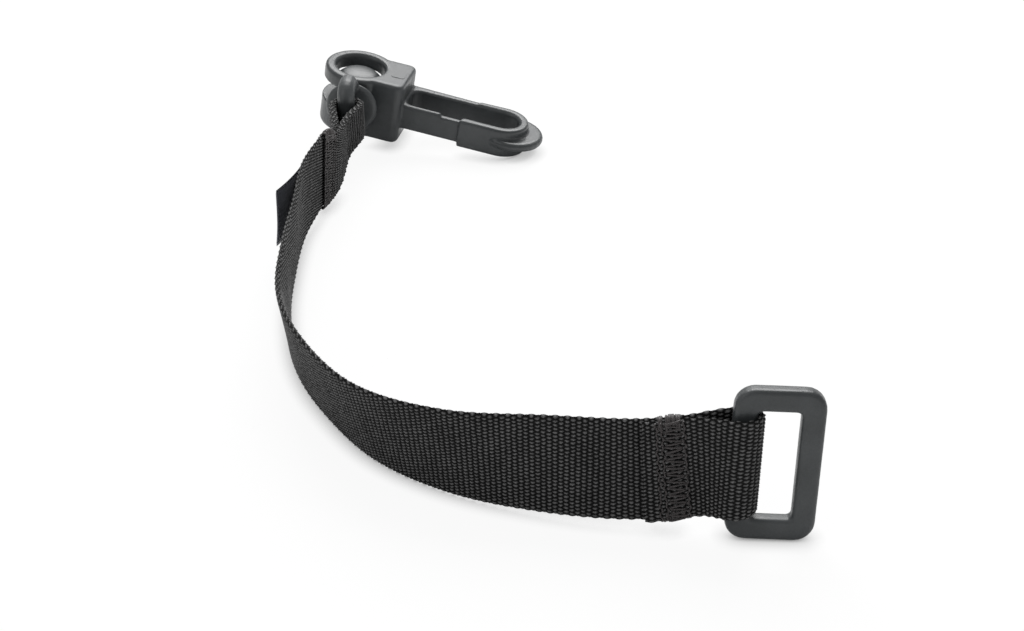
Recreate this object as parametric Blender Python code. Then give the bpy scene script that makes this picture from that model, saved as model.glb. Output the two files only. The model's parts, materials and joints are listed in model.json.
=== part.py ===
"""Utility strap: a curved length of webbing with a rectangular ring on one end
and a swivelling snap hook on the other.

The strap stands on its edge in a C.  +X runs to the right along the near
branch, +Y runs from the ring end to the hook end, and +Z is up.
"""
from math import acos, cos, hypot, pi, radians, sin, sqrt

import bmesh
import bpy
from mathutils import Matrix, Vector

MM = 0.001
SEAT_GAP = 0.3 * MM

# Webbing
WEBBING_WIDTH = 25.4 * MM
WEBBING_THICKNESS = 1.3 * MM
RIB_PITCH = 1.6 * MM
RIB_HEIGHT = 0.12 * MM
RING_TAIL_LENGTH = 21.4 * MM
HOOK_TAIL_LENGTH = 34.0 * MM
RING_LOOP_TAPER = 11.0 * MM
EYE_LOOP_TAPER = 14.0 * MM
LOOP_CLEARANCE = 0.35 * MM
FOLD_GROWTH = 0.7

# Rectangular ring
RING_HEIGHT = 37.0 * MM
RING_WIDTH = 20.0 * MM
RING_BAR = 5.3 * MM
RING_THICKNESS = 3.8 * MM
RING_CORNER_RADIUS = 4.6 * MM
RING_INNER_RADIUS = 1.1 * MM
RING_EDGE_RADIUS = 1.0 * MM
RING_LEAN = radians(8)
RING_TURN = radians(-2)
RING_STRAIGHT = 7.0 * MM

# Swivel eye and its head
EYE_HEIGHT = 24.4 * MM
EYE_BAR_RADIUS = 2.7 * MM
EYE_OPENING_DEPTH = 4.6 * MM
EYE_CORNER_RADIUS = 3.2 * MM
EYE_ROOT_INSET = 2.2 * MM
EYE_SHOULDER = 1.8 * MM
FLANGE_STANDOFF = 1.8 * MM
FLANGE_RADIUS = 8.0 * MM
FLANGE_THICKNESS = 2.2 * MM
STEM_RADIUS = 2.6 * MM
STEM_TIP_RADIUS = 1.9 * MM
STEM_TIP_LENGTH = 4.2 * MM
HEAD_RADIUS = 6.5 * MM
HEAD_SHOULDER = 2.4 * MM
HEAD_FRONT = 5.4 * MM
HEAD_POLE = radians(8)

# Hook
DECK_RADIUS = 11.2 * MM
WINDOW_RADIUS = 7.7 * MM
HOOK_HEIGHT = 20.0 * MM
UPPER_DECK = 4.6 * MM
SLOT_HEIGHT = 6.4 * MM
BLOCK_LENGTH = 8.7 * MM
SLOT_END = 6.4 * MM
BLOCK_HALF_WIDTH = 9.0 * MM
BLOCK_CORNER_RADIUS = 2.4 * MM
ARM_HEIGHT = 8.3 * MM
ARM_BASE_HEIGHT = 5.2 * MM
LOOP_INNER_WIDTH = 10.6 * MM
LOOP_INNER_LENGTH = 36.0 * MM
LOOP_FILLET = 0.6 * MM
SPINE_ROOT = 3.4 * MM
SPINE_TIP = 2.7 * MM
GATE_THICKNESS = 1.9 * MM
GATE_LENGTH = 19.0 * MM
GATE_STEP_LENGTH = 6.6 * MM
GATE_STEP = 0.9 * MM
GATE_GAP = 0.35 * MM
NOSE_WALL = 3.0 * MM
NOSE_PROUD = 0.8 * MM
LIP_WIDTH = 5.2 * MM
LIP_SHIFT = 3.6 * MM
LIP_THICKNESS = 2.8 * MM
LIP_LENGTH = 14.0 * MM
HOOK_EDGE_RADIUS = 1.2 * MM
ARM_EDGE_RADIUS = 0.7 * MM
MARK_RECESS = (3.4 * MM, 4.4 * MM, 0.4 * MM)

# Stitching and label
BARTACK_LENGTH = 6.6 * MM
THREAD_THICKNESS = 0.5 * MM
RING_BARTACK_FROM_BAR = 11.6 * MM
EYE_BARTACK_FROM_BAR = 25.0 * MM
LABEL_LENGTH = 21.0 * MM
LABEL_HEIGHT = 18.0 * MM
LABEL_THICKNESS = 0.6 * MM
LABEL_FROM_EYE = 36.0 * MM
LABEL_FLARE = 3.0 * MM
LABEL_RAISE = 1.6 * MM

# Pose of the hook: heading and nose-down pitch, and the swing of the stem round the slot
HOOK_HEADING = radians(-12.5)
HOOK_PITCH = radians(9.6)
STEM_SWING = radians(-82)
WINDOW_FOOT = Vector((-50.9, 110.5, 5.15)) * MM

# Lower edge of the strap, ring end first: x, y, height, lean in degrees (plus is towards
# the inside of the C) and share of the full width; the eye end is worked out
STRAP_ROUTE = [
    (28.7, -88.9, 3.0, 9.0, 1.0),
    (8.6, -85.1, 1.0, 4.0, 1.0),
    (-14.3, -76.9, 0.1, -7.0, 1.0),
    (-33.0, -64.2, 0.0, -12.0, 1.0),
    (-47.2, -44.8, 0.0, -9.0, 1.0),
    (-55.8, -25.5, 0.0, -4.0, 1.0),
    (-60.3, -2.0, 0.0, 2.0, 1.0),
    (-61.5, 20.8, 0.0, 6.0, 1.0),
    (-60.8, 41.0, 0.4, 5.0, 1.0),
    (-57.2, 57.0, 1.6, 2.0, 0.95),
    (-54.2, 68.6, 3.2, 0.0, 0.80),
]
RING_FOOT = (50.0, -92.8)
EYE_END_WIDTH = 0.46
EYE_FOOT_CLEARANCE = 0.6 * MM
EYE_STRAIGHT = 8.0 * MM
EYE_STRAIGHT_WIDTH = 0.54
ROUTE_STEPS = 24

BLACK_WEBBING = ("black_webbing", (0.012, 0.012, 0.013, 1.0), 0.9)
BLACK_THREAD = ("black_thread", (0.016, 0.014, 0.014, 1.0), 0.85)
SATIN_LABEL = ("satin_label", (0.03, 0.032, 0.038, 1.0), 0.5)
BLACK_NYLON = ("black_nylon", (0.03, 0.032, 0.035, 1.0), 0.45)


def clear_scene():
    """Remove every object that the scene holds."""
    for item in list(bpy.data.objects):
        bpy.data.objects.remove(item, do_unlink=True)


def finish_material(finish):
    """A Principled material from a name, a colour and a roughness."""
    name, colour, roughness = finish
    material = bpy.data.materials.new(name)
    material.use_nodes = True
    shader = material.node_tree.nodes["Principled BSDF"]
    shader.inputs["Base Color"].default_value = colour
    shader.inputs["Roughness"].default_value = roughness
    shader.inputs["Metallic"].default_value = 0.0
    return material


def mesh_object(name, bm, finish=None, smooth_angle=35.0):
    """Turn a bmesh into an object with its own material and smooth round faces."""
    bmesh.ops.remove_doubles(bm, verts=bm.verts, dist=1e-6)
    bmesh.ops.recalc_face_normals(bm, faces=bm.faces)
    mesh = bpy.data.meshes.new(name)
    bm.to_mesh(mesh)
    bm.free()
    mesh.shade_smooth()
    mesh.set_sharp_from_angle(angle=radians(smooth_angle))
    item = bpy.data.objects.new(name, mesh)
    bpy.context.collection.objects.link(item)
    if finish:
        mesh.materials.append(finish_material(finish))
    return item


def cutter(name, bm):
    """A body that only shapes another one: drawn as wire and left out of renders."""
    item = mesh_object(name, bm)
    item.hide_render = True
    item.display_type = "WIRE"
    return item


def combine(target, tool, operation):
    """Join, cut or trim the target by the tool, which is a cutter."""
    step = target.modifiers.new(operation.lower() + "_" + tool.name, "BOOLEAN")
    step.operation = operation
    step.object = tool
    step.solver = "EXACT"
    tool.parent = target


def skin(loops, closed=False):
    """A bmesh that joins equal loops of points, with caps, or back to the first loop."""
    bm = bmesh.new()
    rings = [[bm.verts.new(point) for point in loop] for loop in loops]
    count = len(rings[0])
    pairs = list(zip(rings, rings[1:]))
    if closed:
        pairs.append((rings[-1], rings[0]))
    for first, second in pairs:
        for index in range(count):
            after = (index + 1) % count
            bm.faces.new((first[index], first[after], second[after], second[index]))
    if not closed:
        bm.faces.new(list(reversed(rings[0])))
        bm.faces.new(rings[-1])
    return bm


def turned(profile, sides):
    """Spin a profile of (radius, height) points round Z into a closed body."""
    loops = []
    for radius, height in profile:
        loops.append([Vector((radius * cos(turn), radius * sin(turn), height))
                      for turn in (2 * pi * index / sides for index in range(sides))])
    return skin(loops)


def arc_points(centre, radius, start, end, count):
    """Points on an arc in the plane, both ends included."""
    return [(centre[0] + radius * cos(start + (end - start) * index / (count - 1)),
             centre[1] + radius * sin(start + (end - start) * index / (count - 1)))
            for index in range(count)]


def rounded_rectangle(width, height, radius, steps=5):
    """Corner arcs of a rectangle centred on zero, anticlockwise."""
    points = []
    corners = [(1, -1, -pi / 2), (1, 1, 0.0), (-1, 1, pi / 2), (-1, -1, pi)]
    for side_x, side_y, start in corners:
        centre = (side_x * (width / 2 - radius), side_y * (height / 2 - radius))
        points += arc_points(centre, radius, start, start + pi / 2, steps)
    return points


def inset(points, amount):
    """Move each point of an anticlockwise outline inwards along its corner's bisector."""
    moved = []
    count = len(points)
    for index, (x, y) in enumerate(points):
        before = Vector(points[index - 1])
        after = Vector(points[(index + 1) % count])
        here = Vector((x, y))
        first = (here - before).normalized()
        second = (after - here).normalized()
        normal_a = Vector((-first.y, first.x))
        normal_b = Vector((-second.y, second.x))
        bisector = (normal_a + normal_b).normalized()
        reach = amount / max(0.5, bisector.dot(normal_a))
        moved.append((x + bisector.x * reach, y + bisector.y * reach))
    return moved


def plate(outline, bottom, top, edge, steps=3):
    """Extrude an outline from bottom to top with rounded rims."""
    levels = []
    for index in range(steps + 1):
        turn = pi / 2 * index / steps
        levels.append((edge * (1 - sin(turn)), bottom + edge * (1 - cos(turn))))
    for index in range(steps + 1):
        turn = pi / 2 * (1 - index / steps)
        levels.append((edge * (1 - sin(turn)), top - edge * (1 - cos(turn))))
    loops = []
    for amount, height in levels:
        ring = inset(outline, amount) if amount > 1e-9 else outline
        loops.append([Vector((x, y, height)) for x, y in ring])
    return skin(loops)


def smooth_step(value):
    """Ease from 0 to 1 with level ends."""
    value = min(1.0, max(0.0, value))
    return value * value * (3 - 2 * value)


def local_thickness(width):
    """Webbing that is bunched to less than its full width is folded, and so thicker."""
    bunch = (1 - width / WEBBING_WIDTH) / (1 - EYE_END_WIDTH)
    return WEBBING_THICKNESS * (1 + FOLD_GROWTH * max(0.0, bunch))


class StemFrame:
    """Where the hook's window, the swivel stem and the eye's bar lie in the world."""

    def __init__(self):
        heading = Matrix.Rotation(HOOK_HEADING, 4, "Z")
        pitch = Matrix.Rotation(HOOK_PITCH, 4, "Y")
        self.hook = Matrix.Translation(WINDOW_FOOT) @ heading @ pitch
        self.stem_height = HOOK_HEIGHT - UPPER_DECK - SLOT_HEIGHT / 2
        self.pivot = self.hook @ Vector((0, 0, self.stem_height))
        swing = Vector((cos(STEM_SWING), sin(STEM_SWING), 0))
        self.outward = (self.hook.to_3x3() @ swing).normalized()
        self.orbit_axis = (self.hook.to_3x3() @ Vector((0, 0, 1))).normalized()
        self.bar_distance = (DECK_RADIUS + FLANGE_STANDOFF + FLANGE_THICKNESS
                             + EYE_OPENING_DEPTH + EYE_BAR_RADIUS)
        self.bar = self.pivot + self.outward * self.bar_distance
        level = Vector((0, 0, 1))
        self.bar_axis = (level - self.outward * level.dot(self.outward)).normalized()

    def stem_matrix(self):
        """Z along the stem outwards from the pivot, Y along the eye's bar."""
        side = self.bar_axis.cross(self.outward)
        turned_axes = Matrix((side, self.bar_axis, self.outward)).transposed().to_4x4()
        return Matrix.Translation(self.pivot) @ turned_axes


STEM = StemFrame()



def ring_bar_centre():
    """Middle of the ring's threaded bar when the leaning ring stands on the ground."""
    flat = RING_HEIGHT / 2 - RING_EDGE_RADIUS
    side = RING_THICKNESS / 2 - RING_EDGE_RADIUS
    height = flat * cos(RING_LEAN) + side * sin(RING_LEAN) + RING_EDGE_RADIUS
    foot_x, foot_y = RING_FOOT
    return Vector((foot_x * MM, foot_y * MM + RING_HEIGHT / 2 * sin(RING_LEAN), height))



class Route:
    """The strap's middle surface as a smooth curve of frames, by distance from the ring's bar."""

    def __init__(self):
        rows = [self.ring_row(0.0), self.ring_row(RING_STRAIGHT)]
        rows += [self.plain_row(row) for row in STRAP_ROUTE]
        rows += [self.eye_row(EYE_STRAIGHT, EYE_STRAIGHT_WIDTH),
                 self.eye_row(0.0, EYE_END_WIDTH)]
        self.samples = self.spread(rows)
        self.distance = [0.0]
        for before, after in zip(self.samples, self.samples[1:]):
            self.distance.append(self.distance[-1] + (after[0] - before[0]).length)
        self.length = self.distance[-1]

    @staticmethod
    def middle(foot, lean, out, width):
        up = Vector((0, 0, cos(lean))) + out * sin(lean)
        return foot + up * (width / 2)

    @staticmethod
    def ring_row(after):
        """The webbing meets the ring at the middle of the ring's bar, its loop round the bar."""
        leaving = (Vector(STRAP_ROUTE[0][:2]) - Vector(RING_FOOT)).normalized().to_3d()
        outside = Vector((-leaving.y, leaving.x, 0))
        shift = leaving * after - outside * (WEBBING_THICKNESS + SEAT_GAP) / 2
        return (ring_bar_centre() + shift, RING_LEAN, WEBBING_WIDTH)

    def plain_row(self, row):
        x, y, height, lean, share = row
        foot = Vector((x, y, height)) * MM
        width = WEBBING_WIDTH * share
        out = Vector((-foot.x, -foot.y, 0)).normalized()
        return (self.middle(foot, radians(lean), out, width), radians(lean), width)

    @staticmethod
    def eye_row(before, share):
        """The bunched webbing lies on the foot of the eye's opening, its loop round the bar."""
        end_width = WEBBING_WIDTH * EYE_END_WIDTH
        drop = EYE_HEIGHT / 2 - 2 * EYE_BAR_RADIUS - EYE_FOOT_CLEARANCE - end_width / 2
        outside = STEM.outward.cross(STEM.bar_axis)
        point = STEM.bar + STEM.outward * before - STEM.bar_axis * drop
        return (point + outside * (local_thickness(end_width) + SEAT_GAP) / 2, 0.0,
                WEBBING_WIDTH * share)

    @staticmethod
    def spread(rows):
        """Catmull-Rom through the rows, with the end directions kept straight."""
        first = [2 * rows[0][k] - rows[1][k] for k in range(3)]
        last = [2 * rows[-1][k] - rows[-2][k] for k in range(3)]
        guide = [tuple(first)] + rows + [tuple(last)]
        samples = []
        for index in range(1, len(guide) - 2):
            p0, p1, p2, p3 = guide[index - 1:index + 3]
            for step in range(ROUTE_STEPS):
                t = step / ROUTE_STEPS
                samples.append(tuple(
                    0.5 * (2 * p1[k] + (p2[k] - p0[k]) * t
                           + (2 * p0[k] - 5 * p1[k] + 4 * p2[k] - p3[k]) * t * t
                           + (3 * p1[k] - p0[k] - 3 * p2[k] + p3[k]) * t ** 3)
                    for k in range(3)))
        samples.append(rows[-1])
        return samples

    def at(self, distance):
        """Middle point, direction, outward normal, width direction and width at a distance.

        The width direction is that of the ring's bar at one end and of the eye's bar at the other.
        """
        index = 0
        last = len(self.samples) - 2
        while index < last and self.distance[index + 1] < distance:
            index += 1
        span = self.distance[index + 1] - self.distance[index]
        share = (distance - self.distance[index]) / span
        before, after = self.samples[index], self.samples[index + 1]
        clamped = min(1.0, max(0.0, share))
        point = before[0] + (after[0] - before[0]) * share
        along = self.direction(index, clamped)
        lean = before[1] + (after[1] - before[1]) * clamped
        width = before[2] + (after[2] - before[2]) * clamped
        flat_normal = Vector((-along.y, along.x, 0)).normalized()
        up = Vector((0, 0, cos(lean))) - flat_normal * sin(lean)
        square = smooth_step(distance / self.length)
        up = (up - along * up.dot(along) * square).normalized()
        normal = up.cross(along).normalized()
        return point, along, normal, up, width

    def direction(self, index, share):
        """Direction at a share of one sample span, blended with its neighbours."""
        def step(k):
            k = min(len(self.samples) - 2, max(0, k))
            return (self.samples[k + 1][0] - self.samples[k][0]).normalized()
        here = step(index)
        side = step(index + 1) if share > 0.5 else step(index - 1)
        weight = abs(share - 0.5)
        return (here * (1 - weight) + side * weight).normalized()


ROUTE = Route()


def bar_reach(width, thickness, edge):
    """Largest radius of a rounded rectangular bar about its middle."""
    return hypot(width / 2 - edge, thickness / 2 - edge) + edge


class StrapPath:
    """The webbing's course past the route: tail, ring loop, main run, eye loop and tail.

    Each point is a distance along the route and an offset, plus is outside the C.
    """

    def __init__(self):
        eye_thickness = local_thickness(ROUTE.at(ROUTE.length)[4])
        ring_inside = bar_reach(RING_BAR, RING_THICKNESS, RING_EDGE_RADIUS) + LOOP_CLEARANCE
        self.ring_radius = ring_inside + WEBBING_THICKNESS / 2
        self.eye_radius = EYE_BAR_RADIUS + LOOP_CLEARANCE + eye_thickness / 2
        self.ring_side = self.half_stack(0.0)
        self.eye_side = -self.half_stack(ROUTE.length)

    @staticmethod
    def half_stack(distance):
        """Half the distance between the middles of two layers lying together."""
        return (local_thickness(ROUTE.at(distance)[4]) + SEAT_GAP) / 2

    def spread(self, distance, from_bar, taper, radius):
        """Half the distance between two layers that part to pass round a bar."""
        near = self.half_stack(distance)
        return near + (radius - near) * (1 - smooth_step(from_bar / taper))

    def ring_spread(self, distance):
        return self.spread(distance, distance, RING_LOOP_TAPER, self.ring_radius)

    def eye_spread(self, distance):
        return self.spread(distance, ROUTE.length - distance, EYE_LOOP_TAPER, self.eye_radius)

    def ring_middle(self, distance):
        """Offset of the middle of the stack at the ring end."""
        return self.half_stack(distance)

    def main_offset(self, distance):
        ring_part = self.ring_middle(distance) - self.ring_spread(distance)
        eye_part = self.eye_spread(distance) - self.half_stack(distance)
        return ring_part + eye_part

    def points(self):
        """Course points in order, dense enough to measure lengths on."""
        step = 0.25 * MM
        course = []
        count = int(RING_TAIL_LENGTH / step)
        for index in range(count):
            distance = RING_TAIL_LENGTH * (1 - index / count)
            course.append((distance, self.ring_middle(distance) + self.ring_spread(distance)))
        course += [(x, y + self.ring_side)
                   for x, y in arc_points((0, 0), self.ring_radius, pi / 2, 3 * pi / 2, 32)]
        count = int(ROUTE.length / step)
        for index in range(1, count):
            distance = ROUTE.length * index / count
            course.append((distance, self.main_offset(distance)))
        course += [(ROUTE.length + x, y + self.eye_side)
                   for x, y in arc_points((0, 0), self.eye_radius, pi / 2, -pi / 2, 32)]
        count = int(HOOK_TAIL_LENGTH / step)
        for index in range(1, count + 1):
            distance = ROUTE.length - HOOK_TAIL_LENGTH * index / count
            course.append((distance, -self.half_stack(distance) - self.eye_spread(distance)))
        return course

    def stations(self, pitch):
        """Points and course directions at an even pitch along the webbing."""
        course = self.points()
        lengths = [0.0]
        for (x0, y0), (x1, y1) in zip(course, course[1:]):
            lengths.append(lengths[-1] + hypot(x1 - x0, y1 - y0))
        count = int(round(lengths[-1] / pitch))
        result = []
        cursor = 0
        for index in range(count + 1):
            target = lengths[-1] * index / count
            while cursor < len(lengths) - 2 and lengths[cursor + 1] < target:
                cursor += 1
            share = (target - lengths[cursor]) / (lengths[cursor + 1] - lengths[cursor])
            (x0, y0), (x1, y1) = course[cursor], course[cursor + 1]
            size = hypot(x1 - x0, y1 - y0)
            result.append((x0 + (x1 - x0) * share, y0 + (y1 - y0) * share,
                           (x1 - x0) / size, (y1 - y0) / size))
        return result


PATH = StrapPath()


def build_webbing():
    """One length of webbing, ribbed across, from the ring tail to the hook tail."""
    loops = []
    for index, (distance, offset, run, rise) in enumerate(PATH.stations(RIB_PITCH / 2)):
        point, along, normal, up, width = ROUTE.at(distance)
        middle = point + normal * offset
        face = normal * run - along * rise
        half_thickness = local_thickness(width) / 2 - (RIB_HEIGHT if index % 2 else 0.0)
        half_width = width / 2
        shoulder = half_width - half_thickness
        section = [(-half_width, 0.0), (-shoulder, -half_thickness), (shoulder, -half_thickness),
                   (half_width, 0.0), (shoulder, half_thickness), (-shoulder, half_thickness)]
        loops.append([middle + up * across + face * through for across, through in section])
    return mesh_object("webbing", skin(loops), BLACK_WEBBING, 50.0)


def sleeve(name, start, length, side, ridges):
    """Bartack threads round a doubled stretch of webbing, ridged along their rows."""
    outer, inner = [], []
    steps = ridges * 2
    for index in range(steps + 1):
        distance = start + length * index / steps
        point, along, normal, up, width = ROUTE.at(distance)
        stack = side * PATH.half_stack(distance)
        half_stack = local_thickness(width) + SEAT_GAP / 2 + SEAT_GAP
        half_width = width / 2 + SEAT_GAP
        thread = THREAD_THICKNESS * (1.0 if index % 2 else 0.7)
        middle = point + normal * stack
        for target, grow in ((outer, thread), (inner, 0.0)):
            outline = rounded_rectangle(2 * (half_width + grow), 2 * (half_stack + grow),
                                        0.4 * MM + grow, 3)
            target.append([middle + up * x + normal * y for x, y in outline])
    return mesh_object(name, skin(outer + inner[::-1], closed=True), BLACK_THREAD)


def build_label():
    """A satin label caught under the hook end's stitching, its free end standing off."""
    loops = []
    steps = 10
    for index in range(steps + 1):
        share = index / steps
        distance = ROUTE.length - LABEL_FROM_EYE - LABEL_LENGTH * share
        point, along, normal, up, width = ROUTE.at(distance)
        clear = local_thickness(width) / 2 + SEAT_GAP + LABEL_THICKNESS / 2
        middle = point + normal * (clear + LABEL_FLARE * share * share)
        across, through = LABEL_HEIGHT / 2, LABEL_THICKNESS / 2
        section = [(-across, -through), (across, -through), (across, through), (-across, through)]
        loops.append([middle + up * (x + LABEL_RAISE) + normal * y for x, y in section])
    return mesh_object("label_tag", skin(loops), SATIN_LABEL)


def ring_matrix():
    """X from the threaded bar to the free bar, Z along the bars, Y through the ring."""
    point, along, normal, up, width = ROUTE.at(0.0)
    heading = Vector((cos(RING_TURN), sin(RING_TURN), 0))
    across = (heading - up * heading.dot(up)).normalized()
    axes = Matrix((across, up.cross(across), up)).transposed().to_4x4()
    return Matrix.Translation(point + normal * PATH.ring_side) @ axes


def build_ring():
    """Moulded rectangular ring, its origin on the bar that the webbing passes round."""
    outer = rounded_rectangle(RING_WIDTH, RING_HEIGHT, RING_CORNER_RADIUS, 7)
    inner = rounded_rectangle(RING_WIDTH - 2 * RING_BAR, RING_HEIGHT - 2 * RING_BAR,
                              RING_INNER_RADIUS, 7)
    half = RING_THICKNESS / 2
    centre = RING_WIDTH / 2 - RING_BAR / 2
    steps = 4
    loops = []
    for outline, direction, turns in ((outer, 1, range(2 * steps + 2)),
                                      (inner, -1, reversed(range(2 * steps + 2)))):
        for index in turns:
            low = index <= steps
            turn = pi / 2 * (index if low else 2 * steps + 1 - index) / steps
            amount = RING_EDGE_RADIUS * (1 - sin(turn))
            depth = RING_EDGE_RADIUS * (1 - cos(turn))
            level = -half + depth if low else half - depth
            ring = inset(outline, direction * amount)
            loops.append([Vector((x + centre, level, y)) for x, y in ring])
    item = mesh_object("rectangular_ring", skin(loops, closed=True), BLACK_NYLON)
    item.matrix_world = ring_matrix()
    return item


def sweep_round(points, radius, sides, side_axis):
    """Round section swept along points that lie in one plane, with flat ends."""
    loops = []
    for index, point in enumerate(points):
        before = points[max(0, index - 1)]
        after = points[min(len(points) - 1, index + 1)]
        along = (after - before).normalized()
        other = side_axis.cross(along)
        loops.append([point + (side_axis * cos(turn) + other * sin(turn)) * radius
                      for turn in (2 * pi * k / sides for k in range(sides))])
    return skin(loops)


def build_eye():
    """Swivel stem with its flange and the eye that the webbing passes round."""
    back = DECK_RADIUS + FLANGE_STANDOFF
    front = back + FLANGE_THICKNESS
    rim = FLANGE_THICKNESS * 0.35
    profile = [(STEM_TIP_RADIUS, -STEM_TIP_LENGTH / 2 + HEAD_SHOULDER),
               (STEM_TIP_RADIUS, HEAD_FRONT + SEAT_GAP), (STEM_RADIUS, HEAD_FRONT + SEAT_GAP),
               (STEM_RADIUS, back - rim), (STEM_RADIUS + rim, back),
               (FLANGE_RADIUS - rim, back), (FLANGE_RADIUS, back + rim),
               (FLANGE_RADIUS, front - rim), (FLANGE_RADIUS - rim, front)]
    shift = STEM.bar_distance
    body = turned([(radius, height - shift) for radius, height in profile], 28)
    item = mesh_object("swivel_eye", body, BLACK_NYLON)
    item.matrix_world = STEM.stem_matrix() @ Matrix.Translation((0, 0, shift))
    reach = EYE_HEIGHT / 2 - EYE_BAR_RADIUS
    corner = EYE_CORNER_RADIUS
    root = front - shift - FLANGE_THICKNESS / 2
    side = [(reach - EYE_ROOT_INSET, root), (reach, front - shift + EYE_SHOULDER)]
    side += arc_points((reach - corner, -corner), corner, 0.0, pi / 2, 7)
    outline = side + [(-y, z) for y, z in reversed(side)]
    path = [Vector((0, y, z)) for y, z in outline]
    loop = cutter("eye_loop_form", sweep_round(path, EYE_BAR_RADIUS, 12, Vector((1, 0, 0))))
    combine(item, loop, "UNION")
    return item


def build_head():
    """Ball-shaped head that holds the stem inside the hook's window."""
    bore = STEM_TIP_RADIUS + SEAT_GAP
    floor = HEAD_SHOULDER - STEM_TIP_LENGTH / 2 - SEAT_GAP
    profile = [(bore, floor), (bore, HEAD_FRONT)]
    start = acos(HEAD_FRONT / HEAD_RADIUS)
    steps = 9
    for index in range(steps + 1):
        turn = start + (pi - HEAD_POLE - start) * index / steps
        profile.append((HEAD_RADIUS * sin(turn), HEAD_RADIUS * cos(turn)))
    item = mesh_object("swivel_head", turned(profile, 28), BLACK_NYLON)
    item.matrix_world = STEM.stem_matrix()
    return item


def straight_side(start, end, count=2):
    """Points from start up to, but not including, end."""
    return [(start[0] + (end[0] - start[0]) * k / count,
             start[1] + (end[1] - start[1]) * k / count) for k in range(count)]


def deck_outline():
    """Round decks that run into the block."""
    turn = acos(sqrt(1 - (BLOCK_HALF_WIDTH / DECK_RADIUS) ** 2))
    end = WINDOW_RADIUS + BLOCK_LENGTH
    corner = BLOCK_CORNER_RADIUS
    points = arc_points((0, 0), DECK_RADIUS, turn, 2 * pi - turn, 29)
    points += arc_points((end - corner, -BLOCK_HALF_WIDTH + corner), corner, -pi / 2, 0.0, 5)
    points += arc_points((end - corner, BLOCK_HALF_WIDTH - corner), corner, 0.0, pi / 2, 5)
    return points


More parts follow.
